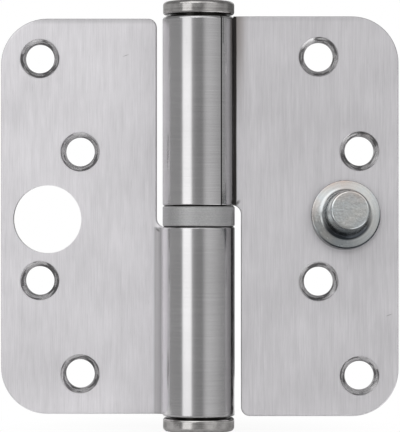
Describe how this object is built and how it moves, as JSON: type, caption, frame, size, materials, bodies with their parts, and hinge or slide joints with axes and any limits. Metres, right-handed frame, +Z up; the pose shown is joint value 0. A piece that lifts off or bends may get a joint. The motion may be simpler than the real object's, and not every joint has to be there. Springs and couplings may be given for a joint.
{
  "type": "security butt hinge",
  "caption": "Lift-off steel butt hinge with rolled knuckles on a headed pin, countersunk screw holes, and a stud on the door leaf that enters a hole in the frame leaf when shut.",
  "frame": {"origin": "on the pin's axis, at half the height of the leaves", "axes": "+Z up along the pin, +X across the door leaf when the hinge is open flat, -Y the way the countersunk faces look"},
  "size_m": [0.089, 0.0207, 0.0958],
  "materials": {
    "leaf_steel": "brushed stainless steel, grain along the pin",
    "pin_steel": "turned stainless steel, satin",
    "ring_metal": "matte grey sintered metal",
    "stud_zinc": "bright zinc plate, faintly blue",
    "ball_steel": "polished bearing steel"
  },
  "bodies": {
    "frame_side": {"frame_leaf": "leaf_steel", "lower_pin": "pin_steel", "spacer_ring": "ring_metal", "bearing_ball": "ball_steel"},
    "door_side": {"door_leaf": "leaf_steel", "upper_pin": "pin_steel", "security_stud": "stud_zinc"}
  },
  "joints": [
    {"name": "door_swing", "type": "hinge", "parent": "frame_side", "child": "door_side", "pos_m": [0, 0, 0], "axis": [0, 0, -1], "range_deg": [-125, 180]}
  ]
}
